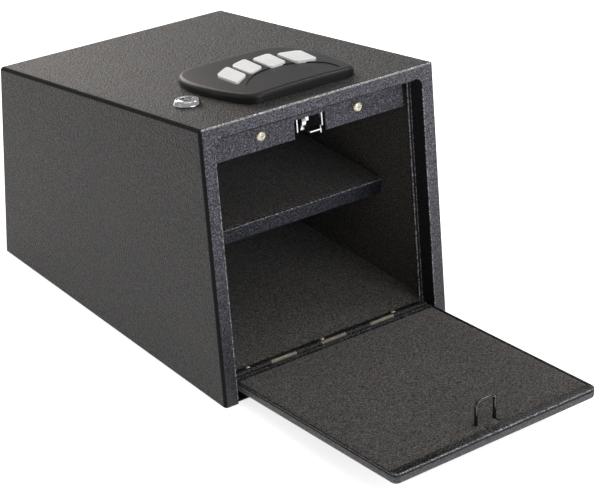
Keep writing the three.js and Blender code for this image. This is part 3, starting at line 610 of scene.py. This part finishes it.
def pod_outline(inset):
    """The pod seen from above, drawn in by inset all round."""
    c = POD_X
    ring = curve((c - 46, 20.3), (c + 46, 20.3)) + curve((c + 46, 20.3), (c + 57.5, 20.5), (c + 60.8, 34))
    ring += curve((c + 60.8, 34), (c + 64.5, 49), (c + 67.3, 68), (c + 67.3, 88))
    ring += curve((c + 67.3, 88), (c + 67.3, 112), (c + 60, 133), (c + 44, 133))
    ring += curve((c + 44, 133), (c - 44, 133))
    ring += curve((c - 44, 133), (c - 60, 133), (c - 67.3, 112), (c - 67.3, 88))
    ring += curve((c - 67.3, 88), (c - 67.3, 68), (c - 64.5, 49), (c - 60.8, 34))
    ring += curve((c - 60.8, 34), (c - 57.5, 20.5), (c - 46, 20.3))
    out = []
    for i, p in enumerate(ring):
        along = (ring[(i + 1) % len(ring)] - ring[i - 1]).normalized()
        out.append(Vector((p.x - along.y * inset, p.y + along.x * inset)))
    return out


def crown(x):
    """Height of the pod's skin over the top sheet."""
    return CROWN_HEIGHT - CROWN_FALL * (x / CROWN_REACH) ** 2


def loft(bm, rings, closed=True):
    """A skin over rings of equal length, with end faces if closed."""
    loops = [[bm.verts.new(p) for p in ring] for ring in rings]
    count = len(loops[0])
    for a, b in zip(loops, loops[1:]):
        for i in range(count):
            j = (i + 1) % count
            bm.faces.new((a[i], a[j], b[j], b[i]))
    if closed:
        bm.faces.new(loops[0][::-1])
        bm.faces.new(loops[-1])
    return loops


def pod_layers(inset, radius, drop, floor):
    """Loops of one skin of the pod, from its foot up round the edge and in over the crown."""
    rings = [[(p.x, p.y, floor) for p in pod_outline(inset)]]
    for k in range(7):
        turn = math.pi / 2 * k / 6
        layer = pod_outline(inset + radius * (1 - math.cos(turn)))
        rings.append([(p.x, p.y, crown(p.x) - drop - radius * (1 - math.sin(turn))) for p in layer])
    rim = pod_outline(inset + radius)
    for scale in (0.97, 0.92, 0.84, 0.72, 0.58, 0.42, 0.26, 0.12):
        layer = [(POD_X + (p.x - POD_X) * scale, POD_Y + (p.y - POD_Y) * scale) for p in rim]
        rings.append([(x, y, crown(x) - drop) for x, y in layer])
    return rings


def prism(points, low, high, matrix, grid=None):
    """A cutter over an outline; grid(x), if given, is the height of its curved floor."""
    bm = bmesh.new()
    loft(bm, [[(x, y, low) for x, y in points], [(x, y, high) for x, y in points]])
    if grid:
        slice_grid(bm, 0, -60, 60, 3)
        for v in bm.verts:
            if abs(v.co.z - low) < 1e-4:
                v.co.z = grid(v.co.x)
    bmesh.ops.recalc_face_normals(bm, faces=bm.faces)
    return cutter(bm, matrix)


# Keys: centre, half width, slope of the ends, lean of the long edges.
KEYS = ((-31.9, 81.2, 10.7, 0.66, 0.118), (-6.8, 92, 9.8, 0.39, 0.155),
        (17.4, 91.7, 9.9, 0.12, 0.169), (41.3, 82.6, 9.7, -0.42, 0.187))


def key_outline(key, grow):
    """One key's outline: a chamfered block whose ends slope and whose long edges lean."""
    x, y, half, slope, lean = key
    w, l, c = half + grow, 17.5 + grow, 2.7
    corners = ((-w + c, -l), (w - c, -l), (w - 0.4, -l + c), (w + 0.6, l - c), (w - c, l), (-w + c, l),
               (-w - 0.4, l - c), (-w + 0.4, -l + c))
    return [(x + a + lean * b, y + b + slope * a) for a, b in corners]


def crisp(piece, width):
    """A small bevel of width mm with even shading."""
    edge = piece.modifiers.new("edge", "BEVEL")
    edge.width = width * MM
    edge.segments = 2
    edge.limit_method = "ANGLE"
    edge.angle_limit = math.radians(40)
    edge.use_clamp_overlap = True
    even = piece.modifiers.new("even", "WEIGHTED_NORMAL")
    even.keep_sharp = True


def pod():
    """The keypad pod: a crowned shell with a shallow arch and four key openings."""
    bm = bmesh.new()
    outer = pod_layers(0, 3.3, 0, 0.3)
    inner = pod_layers(2.2, 1.5, 2.2, 0.3)
    loft(bm, inner[::-1] + outer)
    piece = finish_mesh("pod_shell", bm, TOP, "body", POD, ["keypad_housing"], 60)
    arch = curve((-50, 33), (47, 29)) + curve((47, 29), (49.5, 42), (48, 52))
    arch += curve((48, 52), (36, 72), (18, 76.5), (6, 75)) + curve((6, 75), (-16, 73), (-38, 60), (-50, 33))
    carve(piece, prism(arch, 5, 16, TOP, lambda x: crown(x) - ARCH_DEPTH))
    for key in KEYS:
        carve(piece, prism(key_outline(key, KEY_GAP), KEY_FLOOR, 16, TOP))
    crisp(piece, 0.22)


pod()


def lathed(name, profile, centre, material, replaces):
    """A turned ring on the top sheet, from a closed profile of (radius, height)."""
    steps = 72
    bm = bmesh.new()
    rings = []
    turns = [2 * math.pi * i / steps for i in range(steps)]
    for radius, height in profile:
        rings.append([(centre[0] + radius * math.cos(turn), centre[1] + radius * math.sin(turn), height)
                      for turn in turns])
    loops = loft(bm, rings, closed=False)
    for i in range(steps):
        j = (i + 1) % steps
        bm.faces.new((loops[-1][i], loops[-1][j], loops[0][j], loops[0][i]))
    finish_mesh(name, bm, TOP, "body", material, replaces, 28)


lathed("lock_bezel", [
    (5.8, -22), (9.1, -22), (9.1, 0.3), (12, 0.3), (12.1, 0.5), (12.1, 1.1), (11.9, 1.5), (10.6, 4.1),
    (10.3, 4.5), (9.8, 4.8), (9.2, 4.9), (7.4, 4.9), (7.1, 5.0), (6.6, 5.05), (5.9, 5.0), (5.8, 4.9)],
    LOCK_CENTRE, CHROME, ["lock_body"])


MOUTH_HALF, MOUTH_START, MOUTH_END = 111.5, 8.7, 203.4
BEAD_START = 205
# The pan's section as (inset, height): rolled lip, groove, outer wall and eased outer face.
PAN_PROFILE = ((1.9, 0.0), (1.5, -0.35), (0.9, -0.5), (0.35, -0.3), (0.06, 0.2), (0.1, 0.8), (0.45, 1.15),
               (0.95, 1.3), (0.95, 1.75), (0.3, 1.95), (0.02, 2.3), (0, 2.8), (0, 6.3), (0.15, 7.2),
               (0.6, 8.2), (1.3, 8.8), (2.2, 9))


def door_ring(inset):
    """The door's outline in its own plane, hinge side first, with rounded free corners."""
    half, start, end = 112.7 - inset, 3.1 + inset, 212.7 - inset
    near, far = max(1 - inset, 0.2), max(6 - inset, 0.3)
    out = []
    corners = ((half, start, near, -90), (half, end, far, 0),
               (-half, end, far, 90), (-half, start, near, 180))
    for x, y, r, first in corners:
        cx, cy = x - math.copysign(r, x), y + (r if y == start else -r)
        for k in range(9):
            turn = math.radians(first + 90 * k / 8)
            out.append((cx + r * math.cos(turn), cy + r * math.sin(turn)))
    return out


def door_pan():
    """The door's folded pan, with a mouth for its pad, a painted highlight on the lip and its own finish on
    the wall.
    """
    rings = [[(x, y, z) for x, y in door_ring(1.2)] for z in (7.8, 1.2)]
    mouth = [(min(max(x, -MOUTH_HALF), MOUTH_HALF), min(max(y, MOUTH_START), MOUTH_END))
             for x, y in door_ring(1.2)]
    rings.append([(x, y, 1.2) for x, y in mouth])
    rings.append([(x, y, 0) for x, y in mouth])
    for inset, z in PAN_PROFILE:
        rings.append([(x, y, z) for x, y in door_ring(inset)])
    bm = bmesh.new()
    loft(bm, rings)
    bmesh.ops.remove_doubles(bm, verts=bm.verts, dist=1e-3)
    piece = finish_mesh("door_shell", bm, DOOR, "door", BLACK_COAT, ["door_panel"], 50)
    piece.data.materials.append(BEAD_HIGHLIGHT_COAT)
    piece.data.materials.append(WALL_COAT)
    inverse = DOOR.inverted()
    for face in piece.data.polygons:
        _, along, z = inverse @ face.center
        lowest = min((inverse @ piece.data.vertices[v].co).z for v in face.vertices)
        if along > BEAD_START and z < 0.6 and lowest < -0.2:
            face.material_index = 1
        elif z > 1.8:
            face.material_index = 2


door_pan()


def bead(name, body, material, points, radius, matrix):
    """A thin rolled edge through the points, with rounded ends."""
    points = [Vector(p) for p in points]
    first, last = (points[1] - points[0]).normalized(), (points[-1] - points[-2]).normalized()
    path = [(points[0], 0.4), (points[0] + first * radius * 0.5, 0.9), (points[0] + first * radius, 1)]
    path += [(p, 1) for p in points[1:-1]]
    path += [(points[-1] - last * radius, 1), (points[-1] - last * radius * 0.5, 0.9), (points[-1], 0.4)]
    side = first.orthogonal().normalized()
    rings = []
    for i, (place, scale) in enumerate(path):
        along = (path[min(i + 1, len(path) - 1)][0] - path[max(i - 1, 0)][0]).normalized()
        side = (side - along * side.dot(along)).normalized()
        other = along.cross(side)
        rings.append([place + radius * scale * (math.cos(t) * side + math.sin(t) * other)
                      for t in (2 * math.pi * k / 12 for k in range(12))])
    bm = bmesh.new()
    loft(bm, rings)
    finish_mesh(name, bm, matrix, body, material)


def front_bead(name, material, start, stop, z, radius):
    """A bead on the front, between two places (x, s) at one height z over the front plane."""
    bead(name, "body", material, [(*start, z), (*stop, z)], radius, FRONT)


# Beads with painted highlights along the hems and the mouth edges.
for tag, side in SIDES:
    front_bead(f"hem_outer_{tag}", BEAD_HIGHLIGHT_COAT, (side * 112.6, 4), (side * 112.6, 234), -16.5, 0.8)
    front_bead(f"hem_inner_{tag}", BEAD_HIGHLIGHT_COAT, (side * 110.3, 4), (side * 110.3, 234), -17.0, 0.8)
for tag, side in SIDES:
    front_bead(f"mouth_edge_{tag}", BEAD_HIGHLIGHT_COAT, (side * 113.5, 4), (side * 113.5, 226), -0.35, 0.6)
# A bead with a painted highlight along the top front edge.
front_bead("brow_bead", BROW_HIGHLIGHT_COAT, (-124.5, 245.85), (124.5, 245.85), -0.7, 0.85)
# A dark bead under the lintel: painted shadow.
front_bead("lintel_shadow_bead", INNER_SHADE_COAT, (-106, 234.95), (106, 234.95), -1.15, 0.95)
# A bead with a painted highlight along the shelf lip.
bead("shelf_bead", "shelf", BEAD_HIGHLIGHT_COAT, [(-120.4, -80.9, 110.0), (120.4, -80.9, 110.0)], 0.75,
     WORLD)


# ---------------------------------------------------------------- stage, light and camera

def area(name, place, target, size, power, color):
    """A soft rectangular light at place, aimed at target."""
    light = bpy.data.lights.new(name, "AREA")
    light.shape = "RECTANGLE"
    light.size, light.size_y = size
    light.energy = power
    light.color = color
    lamp = bpy.data.objects.new(name, light)
    bpy.context.scene.collection.objects.link(lamp)
    lamp.location = place
    lamp.rotation_euler = (Vector(target) - Vector(place)).to_track_quat("-Z", "Y").to_euler()


def floor():
    """The plain pale ground."""
    bm = bmesh.new()
    bmesh.ops.create_grid(bm, x_segments=1, y_segments=1, size=4)
    mesh = bpy.data.meshes.new("floor")
    bm.to_mesh(mesh)
    bm.free()
    material, _, shader, _ = nodes_of("floor")
    shader.inputs["Base Color"].default_value = (0.92, 0.92, 0.92, 1)
    shader.inputs["Roughness"].default_value = 0.9
    shader.inputs["Emission Color"].default_value = (1, 1, 1, 1)
    shader.inputs["Emission Strength"].default_value = 0.75
    mesh.materials.append(material)
    ground = bpy.data.objects.new("floor", mesh)
    bpy.context.scene.collection.objects.link(ground)
    ground.location.z = -0.0005


floor()
area("sweep_back", (0.15, 1.5, 0.62), (-0.05, 0.1, 0.2), (1.1, 0.6), 10, (1.0, 0.91, 0.85))
area("wall_left", (-1.7, 0.2, 0.7), (0, 0, 0.1), (1.2, 1.0), 0.6, (1.0, 0.93, 0.86))
area("front_cool", (0.3, -1.9, 0.9), (0, -0.1, 0.12), (1.4, 1.0), 12, (0.93, 0.94, 1.0))
area("overhead", (-0.1, -0.2, 1.9), (0, -0.1, 0), (1.6, 1.6), 6.5, (1.0, 0.95, 0.9))
area("rim_right", (0.95, -0.35, 1.35), (0, -0.1, 0.2), (0.5, 0.35), 4, (1.0, 1.0, 1.0))

world = bpy.data.worlds.new("studio")
world.use_nodes = True
background = world.node_tree.nodes["Background"]
background.inputs["Color"].default_value = (1, 1, 1, 1)
background.inputs["Strength"].default_value = 0.34
bpy.context.scene.world = world
bpy.context.scene.view_settings.view_transform = "Standard"

AZIMUTH, ELEVATION, ROLL = (math.radians(v) for v in (-39.886167, 27.958719, 2.228012))
CAMERA_PLACE = (-1.058780, -1.378592, 0.964678)
FOCAL_LENGTH, SENSOR_WIDTH = 127.2215, 36
# The camera's axes, level at first and then rolled.
back = Vector((math.sin(AZIMUTH) * math.cos(ELEVATION), -math.cos(AZIMUTH) * math.cos(ELEVATION),
               math.sin(ELEVATION)))
right = Vector((math.cos(AZIMUTH), math.sin(AZIMUTH), 0))
up = back.cross(right)
right, up = (math.cos(ROLL) * right + math.sin(ROLL) * up,
             -math.sin(ROLL) * right + math.cos(ROLL) * up)
lens = bpy.data.cameras.new("camera")
lens.lens = FOCAL_LENGTH
lens.sensor_width = SENSOR_WIDTH
lens.clip_end = 30
camera = bpy.data.objects.new("camera", lens)
bpy.context.scene.collection.objects.link(camera)
turned = Matrix((right, up, back)).transposed().to_4x4()
camera.matrix_world = Matrix.Translation(CAMERA_PLACE) @ turned
bpy.context.scene.camera = camera
